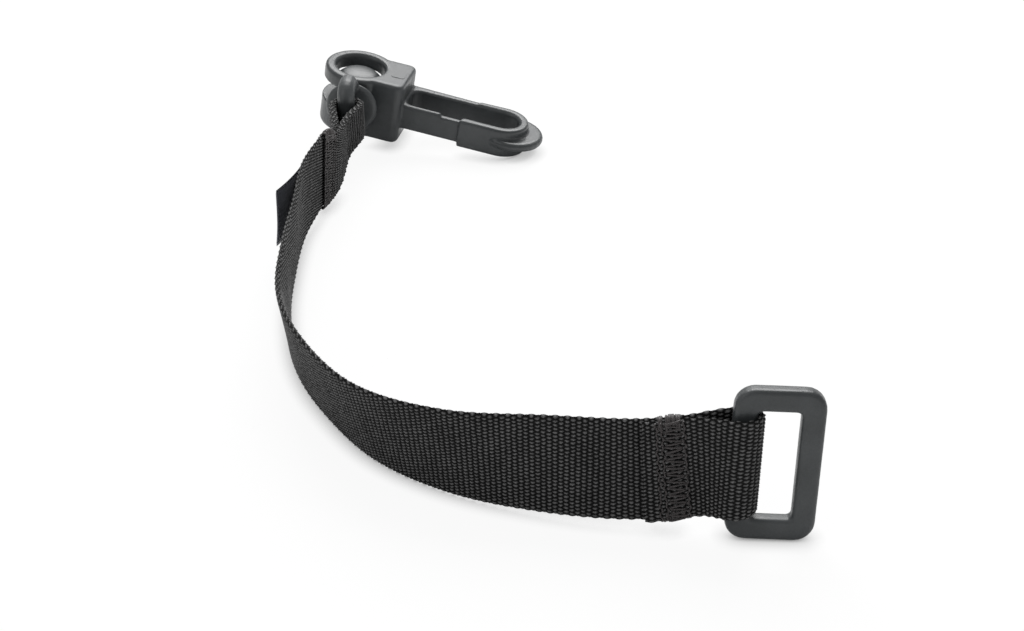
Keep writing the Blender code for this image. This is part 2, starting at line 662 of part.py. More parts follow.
def build_hook():
    """Hook moulding: two decks with a slot and a window, block, spine, nose, gate and lip."""
    block_end = WINDOW_RADIUS + BLOCK_LENGTH
    half_inner = LOOP_INNER_WIDTH / 2
    loop_start = block_end + LOOP_FILLET
    nose_centre = loop_start + LOOP_INNER_LENGTH - half_inner
    nose_radius = half_inner + NOSE_WALL
    gate_end = block_end + GATE_LENGTH
    arm_top = ARM_BASE_HEIGHT + ARM_HEIGHT
    root = block_end - BLOCK_CORNER_RADIUS

    item = mesh_object("hook_body", plate(deck_outline(), 0.0, HOOK_HEIGHT, HOOK_EDGE_RADIUS, 3),
                       BLACK_NYLON)
    item.matrix_world = STEM.hook

    arms = [(root, -half_inner - GATE_THICKNESS), (gate_end, -half_inner - GATE_THICKNESS)]
    arms += arc_points((nose_centre, 0), nose_radius - 2 * SEAT_GAP, -pi / 2, pi / 2, 17)
    arms += [(root, half_inner + SPINE_ROOT)]
    combine(item, cutter("arms_form", plate(arms, ARM_BASE_HEIGHT, arm_top, ARM_EDGE_RADIUS, 2)),
            "UNION")

    nose = [(gate_end, 0.0), (gate_end, -nose_radius)]
    nose += arc_points((nose_centre, 0), nose_radius, -pi / 2, pi / 2, 17)
    nose += [(gate_end + NOSE_WALL, half_inner + SPINE_TIP)]
    nose_form = plate(nose, ARM_BASE_HEIGHT - NOSE_PROUD, arm_top + SEAT_GAP, ARM_EDGE_RADIUS, 2)
    combine(item, cutter("nose_form", nose_form), "UNION")

    lip_centre = nose_centre + LIP_SHIFT
    lip_radius = nose_radius + LIP_WIDTH - LIP_SHIFT
    lip = [(nose_centre - LIP_LENGTH / 2, -nose_radius + NOSE_WALL / 2)]
    lip += arc_points((lip_centre, 0), lip_radius, radians(-100), radians(100), 17)
    lip += [(nose_centre - LIP_LENGTH / 4, nose_radius - NOSE_WALL / 2)]
    lip_low = ARM_BASE_HEIGHT + (ARM_HEIGHT - LIP_THICKNESS) / 2
    combine(item, cutter("lip_form", plate(lip, lip_low, lip_low + LIP_THICKNESS,
                                           LIP_THICKNESS * 0.4, 2)), "UNION")

    flare = HOOK_EDGE_RADIUS
    window = [(WINDOW_RADIUS + 2 * flare, -flare), (WINDOW_RADIUS + flare * 0.3, flare * 0.3),
              (WINDOW_RADIUS, flare), (WINDOW_RADIUS, HOOK_HEIGHT - flare),
              (WINDOW_RADIUS + flare * 0.3, HOOK_HEIGHT - flare * 0.3),
              (WINDOW_RADIUS + 2 * flare, HOOK_HEIGHT + flare)]
    combine(item, cutter("window_form", turned(window, 36)), "DIFFERENCE")

    slot_low = STEM.stem_height - SLOT_HEIGHT / 2
    slot_start = -DECK_RADIUS * 1.5
    slot = [(slot_start, -2 * DECK_RADIUS), (SLOT_END, -2 * DECK_RADIUS),
            (SLOT_END, 2 * DECK_RADIUS), (slot_start, 2 * DECK_RADIUS)]
    combine(item, cutter("slot_form", plate(slot, slot_low, slot_low + SLOT_HEIGHT,
                                            SLOT_HEIGHT * 0.15, 2)), "DIFFERENCE")

    opening = [(loop_start, -half_inner), (nose_centre, -half_inner)]
    opening = arc_points((nose_centre, 0), half_inner, -pi / 2, pi / 2, 13)
    opening += arc_points((loop_start + half_inner / 2, half_inner / 2), half_inner / 2,
                          pi / 2, pi, 4)
    opening += arc_points((loop_start + half_inner / 2, -half_inner / 2), half_inner / 2,
                          pi, 3 * pi / 2, 4)
    rim = ARM_EDGE_RADIUS
    levels = [(-rim, -2 * rim), (-rim, ARM_BASE_HEIGHT - NOSE_PROUD), (0.0, ARM_BASE_HEIGHT + rim),
              (0.0, arm_top - rim), (-rim, arm_top + SEAT_GAP), (-rim, HOOK_HEIGHT)]
    loops = [[Vector((x, y, level)) for x, y in inset(opening, amount)] for amount, level in levels]
    combine(item, cutter("opening_form", skin(loops)), "DIFFERENCE")

    slant = GATE_THICKNESS
    gap = [(gate_end - GATE_GAP, -2 * nose_radius), (gate_end, -2 * nose_radius),
           (gate_end, -half_inner - GATE_THICKNESS), (gate_end + slant, -half_inner + NOSE_WALL),
           (gate_end + slant - GATE_GAP, -half_inner + NOSE_WALL),
           (gate_end - GATE_GAP, -half_inner - GATE_THICKNESS)]
    combine(item, cutter("gate_gap_form", skin([[Vector((x, y, level)) for x, y in gap]
                                                for level in (0.0, HOOK_HEIGHT)])), "DIFFERENCE")

    step = [(gate_end - GATE_STEP_LENGTH, -2 * nose_radius), (gate_end - GATE_GAP / 2, -2 * nose_radius),
            (gate_end - GATE_GAP / 2, -half_inner - GATE_THICKNESS),
            (gate_end + slant - GATE_GAP / 2, -half_inner + NOSE_WALL / 2),
            (gate_end - GATE_STEP_LENGTH, -half_inner + NOSE_WALL / 2)]
    combine(item, cutter("gate_step_form", skin([[Vector((x, y, level)) for x, y in step]
                                                 for level in (arm_top - GATE_STEP, HOOK_HEIGHT)])),
            "DIFFERENCE")

    mark_length, mark_width, mark_depth = MARK_RECESS
    mark_centre = WINDOW_RADIUS + BLOCK_LENGTH / 2 + flare / 2
    mark = rounded_rectangle(mark_length, mark_width, mark_depth, 2)
    mark_loops = [[Vector((x + mark_centre, y, level)) for x, y in mark]
                  for level in (HOOK_HEIGHT - mark_depth, HOOK_HEIGHT + mark_depth)]
    combine(item, cutter("mark_form", skin(mark_loops)), "DIFFERENCE")
    return item


def settle(items):
    """Put the middle of the whole part's footprint at the origin, on the ground."""
    bpy.context.view_layer.update()
    depsgraph = bpy.context.evaluated_depsgraph_get()
    corners = []
    for item in items:
        mesh = item.evaluated_get(depsgraph).to_mesh()
        corners += [item.matrix_world @ vertex.co for vertex in mesh.vertices]
    low = [min(corner[k] for corner in corners) for k in range(3)]
    high = [max(corner[k] for corner in corners) for k in range(3)]
    frame = bpy.data.objects.new("part_frame", None)
    bpy.context.collection.objects.link(frame)
    for item in items:
        item.parent = frame
    frame.location = (-(low[0] + high[0]) / 2, -(low[1] + high[1]) / 2, -low[2])
    bpy.context.view_layer.update()


def main():
    clear_scene()
    items = [
        build_webbing(),
        sleeve("ring_end_bartack", RING_BARTACK_FROM_BAR, BARTACK_LENGTH, 1, 5),
        sleeve("hook_end_bartack", ROUTE.length - EYE_BARTACK_FROM_BAR - BARTACK_LENGTH,
               BARTACK_LENGTH, -1, 5),
        build_label(),
        build_ring(),
        build_eye(),
        build_head(),
        build_hook(),
    ]
    settle(items)


if __name__ == "__main__":
    main()
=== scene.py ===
"""Utility strap dressed for a studio picture.

The woven webbing, the sewn bartacks and the satin label are built here, close to the course of
the plain solids. The ring, the eye and the hook keep the form of their solids, with a moulded surface.
"""
import json
import logging
import random
from dataclasses import dataclass, field
from enum import Enum
from math import cos, hypot, pi, radians, sin, sqrt
from typing import Sequence

import bpy
from mathutils import Matrix, Vector


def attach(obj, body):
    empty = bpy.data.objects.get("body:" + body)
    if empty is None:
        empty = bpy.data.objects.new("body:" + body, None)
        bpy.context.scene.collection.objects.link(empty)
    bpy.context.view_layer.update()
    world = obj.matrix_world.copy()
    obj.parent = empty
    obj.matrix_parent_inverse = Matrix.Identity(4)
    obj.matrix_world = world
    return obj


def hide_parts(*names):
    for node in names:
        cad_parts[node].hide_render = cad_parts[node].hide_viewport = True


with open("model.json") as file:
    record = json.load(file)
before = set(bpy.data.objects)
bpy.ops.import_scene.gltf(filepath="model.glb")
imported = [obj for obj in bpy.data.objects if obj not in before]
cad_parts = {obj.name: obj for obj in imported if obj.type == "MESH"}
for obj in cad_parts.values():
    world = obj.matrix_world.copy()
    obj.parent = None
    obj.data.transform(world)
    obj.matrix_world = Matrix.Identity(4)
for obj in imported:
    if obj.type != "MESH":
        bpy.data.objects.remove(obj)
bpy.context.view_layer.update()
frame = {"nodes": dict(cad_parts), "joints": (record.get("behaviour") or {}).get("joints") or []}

MM = 0.001
CREASE = radians(35)
TINY = 1e-6
THREAD_SIDES = 6
FIBRE_CELLS = 2600
LOG = logging.getLogger("utility_strap")

Point = tuple[float, float]
Loop = list[Vector]
Socket = bpy.types.NodeSocket
Item = bpy.types.Object
Material = bpy.types.Material


class Body(Enum):
    """The bodies of the frame that the pieces ride on."""

    STRAP = "strap"
    RING = "ring"
    EYE = "eye"
    HEAD = "head"
    HOOK = "hook"


def joint_place(name: str) -> Vector:
    """The point in the row frame that a joint turns about.

    Args:
        name: the joint's name in the frame.

    Returns:
        Its position in metres.
    """
    return next(Vector(joint["pos_m"]) for joint in frame["joints"] if joint["name"] == name)


def smooth_step(value: float) -> float:
    """Ease from 0 to 1 with level ends."""
    value = min(1.0, max(0.0, value))
    return value * value * (3 - 2 * value)


def arc_points(centre: Point, radius: float, start: float, end: float, count: int) -> list[Point]:
    """Points on an arc, both ends included.

    Args:
        centre: middle of the arc.
        radius: its radius.
        start: first angle in radians.
        end: last angle in radians.
        count: how many points.

    Returns:
        The points in order.
    """
    turns = [start + (end - start) * index / (count - 1) for index in range(count)]
    return [(centre[0] + radius * cos(turn), centre[1] + radius * sin(turn)) for turn in turns]


# Nodes of the materials

class NodeSketch:
    """Builds one procedural material, node by node."""

    def __init__(self, name: str) -> None:
        """Start an empty Principled material of that name."""
        self.material = bpy.data.materials.new(name)
        self.material.use_nodes = True
        self.tree = self.material.node_tree
        self.shader = self.tree.nodes["Principled BSDF"]
        self.place = self.add("ShaderNodeTexCoord").outputs["Object"]

    def add(self, kind: str, inputs: dict | None = None, **settings: object) -> bpy.types.Node:
        """Add a node.

        Args:
            kind: the node's type.
            inputs: values or output sockets, by input name or index.
            settings: the node's own properties.

        Returns:
            The new node.
        """
        node = self.tree.nodes.new(kind)
        for key, value in settings.items():
            setattr(node, key, value)
        for key, value in (inputs or {}).items():
            self.feed(node.inputs[key], value)
        return node

    def feed(self, socket: Socket, value: object) -> None:
        """Link an output to a socket, or set the socket to a plain value."""
        if isinstance(value, Socket):
            self.tree.links.new(value, socket)
        else:
            socket.default_value = value

    def surface(self, **values: object) -> None:
        """Set or link the shader's own sockets, their names written with underscores."""
        for key, value in values.items():
            self.feed(self.shader.inputs[key.replace("_", " ")], value)

    def noise(self, scale: float, detail: float, roughness: float = 0.55) -> Socket:
        """Noise of so many cells per metre."""
        node = self.add("ShaderNodeTexNoise", {"Vector": self.place, "Scale": scale, "Detail": detail,
                                               "Roughness": roughness})
        return node.outputs["Fac"]

    def drift(self, scale: float, detail: float, reach: float) -> Socket:
        """Noise that wanders as far below zero as above it."""
        return self.span(self.noise(scale, detail), -reach, reach)

    def ramp(self, factor: Socket, stops: Sequence[tuple[float, tuple]]) -> Socket:
        """Colours along a factor.

        Args:
            factor: what picks the colour.
            stops: positions with their red, green and blue.

        Returns:
            The colour socket.
        """
        node = self.add("ShaderNodeValToRGB", {"Fac": factor})
        elements = node.color_ramp.elements
        while len(elements) < len(stops):
            elements.new(1.0)
        for element, (position, colour) in zip(elements, stops):
            element.position = position
            element.color = (*colour, 1.0)
        return node.outputs["Color"]

    def span(self, value: Socket, low: float, high: float, source: Point = (0.0, 1.0)) -> Socket:
        """Map a value from its source range to low and high."""
        node = self.add("ShaderNodeMapRange", {"Value": value, "From Min": source[0], "From Max": source[1],
                                               "To Min": low, "To Max": high})
        return node.outputs["Result"]

    def sum(self, first: Socket, second: Socket, share: float) -> Socket:
        """First plus second times share."""
        node = self.add("ShaderNodeMath", {0: second, 1: share, 2: first}, operation="MULTIPLY_ADD")
        return node.outputs["Value"]

    def math(self, operation: str, *values: Socket | float) -> Socket:
        """One step of arithmetic on sockets or numbers."""
        return self.add("ShaderNodeMath", dict(enumerate(values)), operation=operation).outputs["Value"]

    def square(self, value: Socket, reach: float) -> Socket:
        """The square of a value over its reach."""
        share = self.math("DIVIDE", value, reach)
        return self.math("MULTIPLY", share, share)

    def bump(self, height: Socket, depth: float, strength: float) -> None:
        """Roughen the surface by a height in units of depth."""
        node = self.add("ShaderNodeBump", {"Height": height, "Distance": depth, "Strength": strength})
        self.surface(Normal=node.outputs["Normal"])


@dataclass(frozen=True)
class WovenFinish:
    """Black polyamide yarn, with painted shade deep between the yarns and painted highlights on their crowns.
    """

    name: str = "woven_polyamide"
    # Colour stops by bead height: painted shade at the pits, rising through the flanks to painted highlights
    # on the crowns.
    pit_painted_shade: tuple = (0.0022, 0.0022, 0.0022)
    shade: tuple = (0.012, 0.012, 0.012)
    flank: tuple = (0.052, 0.0517, 0.052)
    crown: tuple = (0.140, 0.1395, 0.1395)
    roughness: float = 0.7
    bead_length: float = 0.5
    bead_width: float = 0.4
    rib_drift: float = 0.2
    yarn_drift: float = 0.42
    wear: float = 0.16
    fibre: float = 0.34
    relief: float = 0.42 * MM

    def make(self) -> Material:
        """The material, which reads ribs and yarns from the mesh and paints shade and highlights by the
        height of each bead.
        """
        sketch = NodeSketch(self.name)
        weave = sketch.add("ShaderNodeAttribute", attribute_name="weave").outputs["Vector"]
        parts = sketch.add("ShaderNodeSeparateXYZ", {"Vector": weave}).outputs
        beat = sketch.sum(parts["X"], sketch.drift(620, 1, self.rib_drift), 1.0)
        yarn = sketch.sum(parts["Y"], sketch.drift(760, 1, self.yarn_drift), 1.0)
        rib = sketch.math("ROUND", beat)
        along = sketch.math("SUBTRACT", beat, rib)
        pair = sketch.math("MULTIPLY", sketch.math("ADD", yarn, rib), 0.5)
        across = sketch.math("SUBTRACT", pair, sketch.math("ROUND", pair))
        dome = sketch.math("SUBTRACT", 1.0, sketch.square(along, self.bead_length))
        dome = sketch.math("SUBTRACT", dome, sketch.square(across, self.bead_width))
        dome = sketch.math("SQRT", sketch.math("MAXIMUM", dome, 0.0))
        worn = sketch.drift(140, 3, self.wear)
        strand = sketch.drift(FIBRE_CELLS, 2, self.fibre)
        level = sketch.sum(sketch.sum(dome, worn, 1.0), strand, 1.0)
        # The ramp paints shade into the pits and highlights onto the crowns by bead height, over random wear
        # and fibre tone.
        stops = [(0.02, self.pit_painted_shade), (0.34, self.shade), (0.68, self.flank), (1.0, self.crown)]
        sketch.surface(Base_Color=sketch.ramp(level, stops), Roughness=self.roughness, Sheen_Weight=0.02,
                       Sheen_Roughness=0.4, Specular_IOR_Level=0.15)
        sketch.bump(sketch.sum(dome, strand, 0.22), self.relief, 1.0)
        return sketch.material


@dataclass(frozen=True)
class ThreadFinish:
    """Twisted sewing thread, a little browner than the webbing."""

    name: str = "sewing_thread"
    dark: tuple = (0.010, 0.0078, 0.0078)
    light: tuple = (0.052, 0.043, 0.043)
    roughness: float = 0.5
    relief: float = 0.1 * MM

    def make(self) -> Material:
        """The material, with the twist of the plies in its relief."""
        sketch = NodeSketch(self.name)
        strand = sketch.noise(FIBRE_CELLS, 2)
        sketch.surface(Base_Color=sketch.ramp(strand, [(0.3, self.dark), (0.72, self.light)]),
                       Roughness=self.roughness, Sheen_Weight=0.15, Specular_IOR_Level=0.5)
        sketch.bump(strand, self.relief, 0.6)
        return sketch.material


@dataclass(frozen=True)
class SatinFinish:
    """Fine ribbed satin ribbon."""

    name: str = "satin_ribbon"
    dark: tuple = (0.075, 0.08, 0.096)
    light: tuple = (0.155, 0.163, 0.187)
    roughness: float = 0.38
    ribs: float = 1500.0
    relief: float = 0.05 * MM

    def make(self) -> Material:
        """The material, with ribs across the ribbon."""
        sketch = NodeSketch(self.name)
        wave = sketch.add("ShaderNodeTexWave", {"Vector": sketch.place, "Scale": self.ribs / (2 * pi),
                                                "Distortion": 0.4, "Detail": 1.0},
                          wave_type="BANDS", bands_direction="Z").outputs["Fac"]
        cloud = sketch.noise(180, 2)
        sketch.surface(Base_Color=sketch.ramp(cloud, [(0.25, self.dark), (0.8, self.light)]),
                       Roughness=self.roughness, Sheen_Weight=0.25, Sheen_Roughness=0.3,
                       Anisotropic=0.5)
        sketch.bump(sketch.sum(wave, sketch.noise(3500, 2), 0.6), self.relief, 0.6)
        return sketch.material


@dataclass(frozen=True)
class NylonFinish:
    """Moulded black nylon with a fine spark texture and faint flow marks."""

    name: str
    dark: tuple = (0.018, 0.021, 0.0225)
    light: tuple = (0.054, 0.059, 0.0615)
    roughness: float = 0.37
    polish: float = 0.07
    dullness: float = 0.1
    grain: float = 0.05 * MM

    def make(self) -> Material:
        """The material, paler and smoother where handling has polished it."""
        sketch = NodeSketch(self.name)
        cloud = sketch.noise(95, 3)
        grain = sketch.noise(2400, 3, roughness=0.65)
        tone = sketch.sum(cloud, grain, 0.35)
        sketch.surface(Base_Color=sketch.ramp(tone, [(0.35, self.dark), (0.95, self.light)]),
                       Roughness=sketch.span(tone, self.roughness - self.polish,
                                             self.roughness + self.dullness, (0.4, 0.9)),
                       Specular_IOR_Level=0.5)
        sketch.bump(grain, self.grain, 0.55)
        return sketch.material


# Mesh helpers

def add_to_scene(name: str, data: bpy.types.ID) -> Item:
    """A new object in the scene, made of that data."""
    item = bpy.data.objects.new(name, data)
    bpy.context.scene.collection.objects.link(item)
    return item


def baked_mesh(item: Item) -> bpy.types.Mesh:
    """Turn an object's modifiers into a smooth mesh of its own."""
    mesh = bpy.data.meshes.new_from_object(item.evaluated_get(bpy.context.evaluated_depsgraph_get()))
    item.modifiers.clear()
    item.data = mesh
    mesh.shade_smooth()
    return mesh


def mesh_piece(name: str, points: Sequence[Vector], faces: Sequence[Sequence[int]],
               finish: Material) -> Item:
    """Make a smooth object from points and faces.

    Args:
        name: the piece's name.
        points: its corners in the row frame, in metres.
        faces: corner numbers of each face, facing outwards.
        finish: its material.

    Returns:
        The new object, linked to the scene.
    """
    mesh = bpy.data.meshes.new(name)
    mesh.from_pydata([tuple(point) for point in points], [], [tuple(face) for face in faces])
    mesh.validate()
    mesh.shade_smooth()
    mesh.materials.append(finish)
    return add_to_scene(name, mesh)


class Skin:
    """Collects closed bodies swept from loops of points into one mesh."""

    def __init__(self) -> None:
        """Start with no points."""
        self.points: list[Vector] = []
        self.faces: list[tuple[int, ...]] = []

    def sweep(self, loops: Sequence[Loop], capped: bool = True) -> None:
        """Join equal loops to one body.

        Args:
            loops: loops of points in order along the body.
            capped: whether one flat face closes each end.
        """
        base, count = len(self.points), len(loops[0])
        for loop in loops:
            self.points += loop
        last = base + (len(loops) - 1) * count
        for first in range(base, last, count):
            second = first + count
            for corner in range(count):
                after = (corner + 1) % count
                self.faces.append((first + corner, first + after, second + after, second + corner))
        if capped:
            self.faces += [tuple(reversed(range(base, base + count))), tuple(range(last, last + count))]

    def tube(self, path: Sequence[Vector], radius: float, sides: int = THREAD_SIDES) -> None:
        """Sweep a round thread along a path.

        Args:
            path: points along the thread's middle.
            radius: its radius.
            sides: sides of its section.
        """
        side = Vector((0, 0, 1))
        loops = []
        last = len(path) - 1
        for index, point in enumerate(path):
            along = (path[min(last, index + 1)] - path[max(0, index - 1)]).normalized()
            side = side - along * side.dot(along)
            if side.length < TINY:
                side = along.orthogonal()
            side.normalize()
            other = along.cross(side)
            loops.append([point + (side * cos(turn) + other * sin(turn)) * radius
                          for turn in (2 * pi * corner / sides for corner in range(sides))])
        self.sweep(loops)

    def piece(self, name: str, finish: Material) -> Item:
        """Turn what was collected into an object."""
        return mesh_piece(name, self.points, self.faces, finish)


def dress(item: Item, body: Body, slot: str, *nodes: str) -> Item:
    """Let a piece ride on a body and stand for nodes.

    Args:
        item: the piece.
        body: what it moves with.
        slot: not used.
        nodes: CAD nodes that it replaces.

    Returns:
        The piece.
    """
    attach(item, body.value)
    if nodes:
        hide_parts(*nodes)
    LOG.info("%s rides on %s: %d faces", item.name, body.value, len(item.data.polygons))
    return item


# Course of the strap

@dataclass(frozen=True)
class SwivelPlace:
    """Where the swivel's stem and the eye's bar lie, from the hook's own place."""

    hook_heading: float = radians(-12.5)
    hook_pitch: float = radians(9.6)
    stem_swing: float = radians(-82)
    window_foot: tuple = (-50.9, 110.5, 5.15)
    stem_height: float = 12.2
    bar_distance: float = 22.5

    def hook(self) -> Matrix:
        """The hook's own axes before the part is centred on its footprint, in millimetres."""
        heading = Matrix.Rotation(self.hook_heading, 4, "Z")
        return Matrix.Translation(self.window_foot) @ heading @ Matrix.Rotation(self.hook_pitch, 4, "Y")

    def outward(self) -> Vector:
        """Direction from the hook along the stem."""
        return (self.hook().to_3x3() @ Vector((cos(self.stem_swing), sin(self.stem_swing), 0))).normalized()

    def bar(self) -> Vector:
        """Middle of the eye's bar, in millimetres."""
        return self.hook() @ Vector((0, 0, self.stem_height)) + self.outward() * self.bar_distance

    def bar_axis(self) -> Vector:
        """Direction of the eye's bar, upwards."""
        outward, level = self.outward(), Vector((0, 0, 1))
        return (level - outward * level.dot(outward)).normalized()


@dataclass(frozen=True)
class Station:
    """One place on the strap's middle surface, in millimetres."""

    point: Vector
    along: Vector
    normal: Vector
    up: Vector
    width: float


@dataclass
class StrapCourse:
    """The strap's middle surface from the ring's bar to the eye's bar, in millimetres.

    A row has the lower edge's x, y and height, the lean in degrees and the share of the full width.
    """

    swivel: SwivelPlace = field(default_factory=SwivelPlace)
    full_width: float = 25.4
    thickness: float = 1.3
    seat_gap: float = 0.3
    ring_height: float = 37.0
    ring_lean: float = radians(8)
    ring_foot: Point = (50.0, -92.8)
    ring_sag: float = 0.4
    ring_slope: float = 0.14
    ring_share: float = 0.965
    ring_edge: float = 1.0
    ring_half_depth: float = 1.9
    ring_straight: float = 7.0
    eye_straight: float = 8.0
    eye_straight_share: float = 0.54
    eye_share: float = 0.46
    eye_drop: float = 0.358
    fold_growth: float = 0.7
    bar_run: float = 10.0
    upright_run: float = 60.0
    rows: tuple = (
        (28.7, -89.2, 2.0, 9.5, 0.985),
        (8.6, -85.7, 0.9, 5.8, 1.0),
        (-14.3, -77.4, 0.1, -5.8, 1.0),
        (-33.0, -64.0, 0.0, -13.0, 1.0),
        (-46.7, -44.4, 0.0, -12.5, 1.0),
        (-55.2, -25.3, 0.0, -7.5, 1.0),
        (-59.8, -2.0, 0.0, 0.8, 1.0),
        (-60.9, 20.8, 0.0, 4.6, 1.0),
        (-60.2, 41.0, 0.4, 3.6, 1.0),
        (-57.0, 57.0, 1.6, 4.0, 0.95),
        (-54.0, 68.4, 3.2, 4.0, 0.80),
    )
    steps: int = 24

    def __post_init__(self) -> None:
        """Work out the samples and the shift into the row frame."""
        guide = [self.ring_row(0.0), self.ring_row(self.ring_straight)]
        guide += [self.plain_row(row) for row in self.rows]
        guide += [self.eye_row(self.eye_straight, self.eye_straight_share), self.eye_row(0.0, self.eye_share)]
        first, last = (tuple(2 * guide[end][k] - guide[near][k] for k in range(3))
                       for end, near in ((0, 1), (-1, -2)))
        guide = [first] + guide + [last]
        self.samples = []
        for index in range(1, len(guide) - 2):
            for step in range(self.steps):
                self.samples.append(self.between(guide[index - 1:index + 3], step / self.steps))
        self.samples.append(guide[-2])
        self.distance = [0.0]
        for before, after in zip(self.samples, self.samples[1:]):
            self.distance.append(self.distance[-1] + (after[0] - before[0]).length)
        self.length = self.distance[-1]
        self.shift = joint_place("eye_pivot") / MM - self.swivel.bar()

    @staticmethod
    def between(rows: Sequence[tuple], share: float) -> tuple:
        """Catmull-Rom value between the middle two of four rows.

        Args:
            rows: the four rows.
            share: place between the second row and the third.

        Returns:
            Middle point, lean and width.
        """
        a, b, c, d = rows
        return tuple(0.5 * (2 * b[k] + (c[k] - a[k]) * share
                            + (2 * a[k] - 5 * b[k] + 4 * c[k] - d[k]) * share * share
                            + (3 * b[k] - a[k] - 3 * c[k] + d[k]) * share ** 3) for k in range(3))

    def ring_row(self, after: float) -> tuple:
        """The guide row near the ring's bar.

        Args:
            after: distance from the bar.

        Returns:
            Middle point, lean and width.
        """
        flat, side = self.ring_height / 2 - self.ring_edge, self.ring_half_depth - self.ring_edge
        height = flat * cos(self.ring_lean) + side * sin(self.ring_lean) + self.ring_edge
        centre = Vector((self.ring_foot[0], self.ring_foot[1] + self.ring_height / 2 * sin(self.ring_lean),
                         height))
        leaving = (Vector(self.rows[0][:2]) - Vector(self.ring_foot)).normalized().to_3d()
        outside = Vector((-leaving.y, leaving.x, 0))
        centre.z -= self.ring_sag + self.ring_slope * after
        return (centre + leaving * after - outside * (self.thickness + self.seat_gap) / 2, self.ring_lean,
                self.full_width * self.ring_share)

    def plain_row(self, row: tuple) -> tuple:
        """The guide row above a place of the lower edge.

        Args:
            row: one of the rows.

        Returns:
            Middle point, lean and width.
        """
        x, y, height, lean, share = row
        out = Vector((-x, -y, 0)).normalized()
        width, lean = self.full_width * share, radians(lean)
        up = Vector((0, 0, cos(lean))) + out * sin(lean)
        return (Vector((x, y, height)) + up * (width / 2), lean, width)

    def eye_row(self, before: float, share: float) -> tuple:
        """The guide row near the eye's bar.

        Args:
            before: distance from the bar.
            share: the width as a share of the full one.

        Returns:
            Middle point, lean and width.
        """
        outward, axis = self.swivel.outward(), self.swivel.bar_axis()
        point = self.swivel.bar() + outward * before - axis * self.eye_drop
        end = self.layer(self.full_width * self.eye_share)
        return (point + outward.cross(axis) * (end + self.seat_gap) / 2, 0.0, self.full_width * share)

    def layer(self, width: float) -> float:
        """Thickness of one layer, which grows where the webbing is bunched."""
        bunch = (1 - width / self.full_width) / (1 - self.eye_share)
        return self.thickness * (1 + self.fold_growth * max(0.0, bunch))

    def at(self, distance: float) -> Station:
        """The station at a distance from the ring's bar, before or past the ends too.

        Args:
            distance: the distance along the strap.

        Returns:
            The station, its lean squared to the course away from the ring.
        """
        index, last = 0, len(self.samples) - 2
        while index < last and self.distance[index + 1] < distance:
            index += 1
        share = (distance - self.distance[index]) / (self.distance[index + 1] - self.distance[index])
        before, after = self.samples[index], self.samples[index + 1]
        clamped = min(1.0, max(0.0, share))
        along = self.direction(index, clamped)
        lean = before[1] + (after[1] - before[1]) * clamped
        flat = Vector((-along.y, along.x, 0)).normalized()
        up = Vector((0, 0, cos(lean))) - flat * sin(lean)
        squared = (smooth_step(distance / self.bar_run) + smooth_step(distance / self.upright_run)) / 2
        up = (up - along * up.dot(along) * squared).normalized()
        return Station(before[0] + (after[0] - before[0]) * share, along, up.cross(along).normalized(), up,
                       before[2] + (after[2] - before[2]) * clamped)

    def direction(self, index: int, share: float) -> Vector:
        """Direction at a share of one span, blended with its neighbours.

        Args:
            index: the span's number.
            share: place in the span.

        Returns:
            The direction.
        """
        def step(k: int) -> Vector:
            """Direction of one span."""
            k = min(len(self.samples) - 2, max(0, k))
            return (self.samples[k + 1][0] - self.samples[k][0]).normalized()
        side = step(index + 1) if share > 0.5 else step(index - 1)
        weight = abs(share - 0.5)
        return (step(index) * (1 - weight) + side * weight).normalized()

    def place(self, point: Vector) -> Vector:
        """A point in millimetres as one in the row frame, in metres."""
        return (point + self.shift) * MM


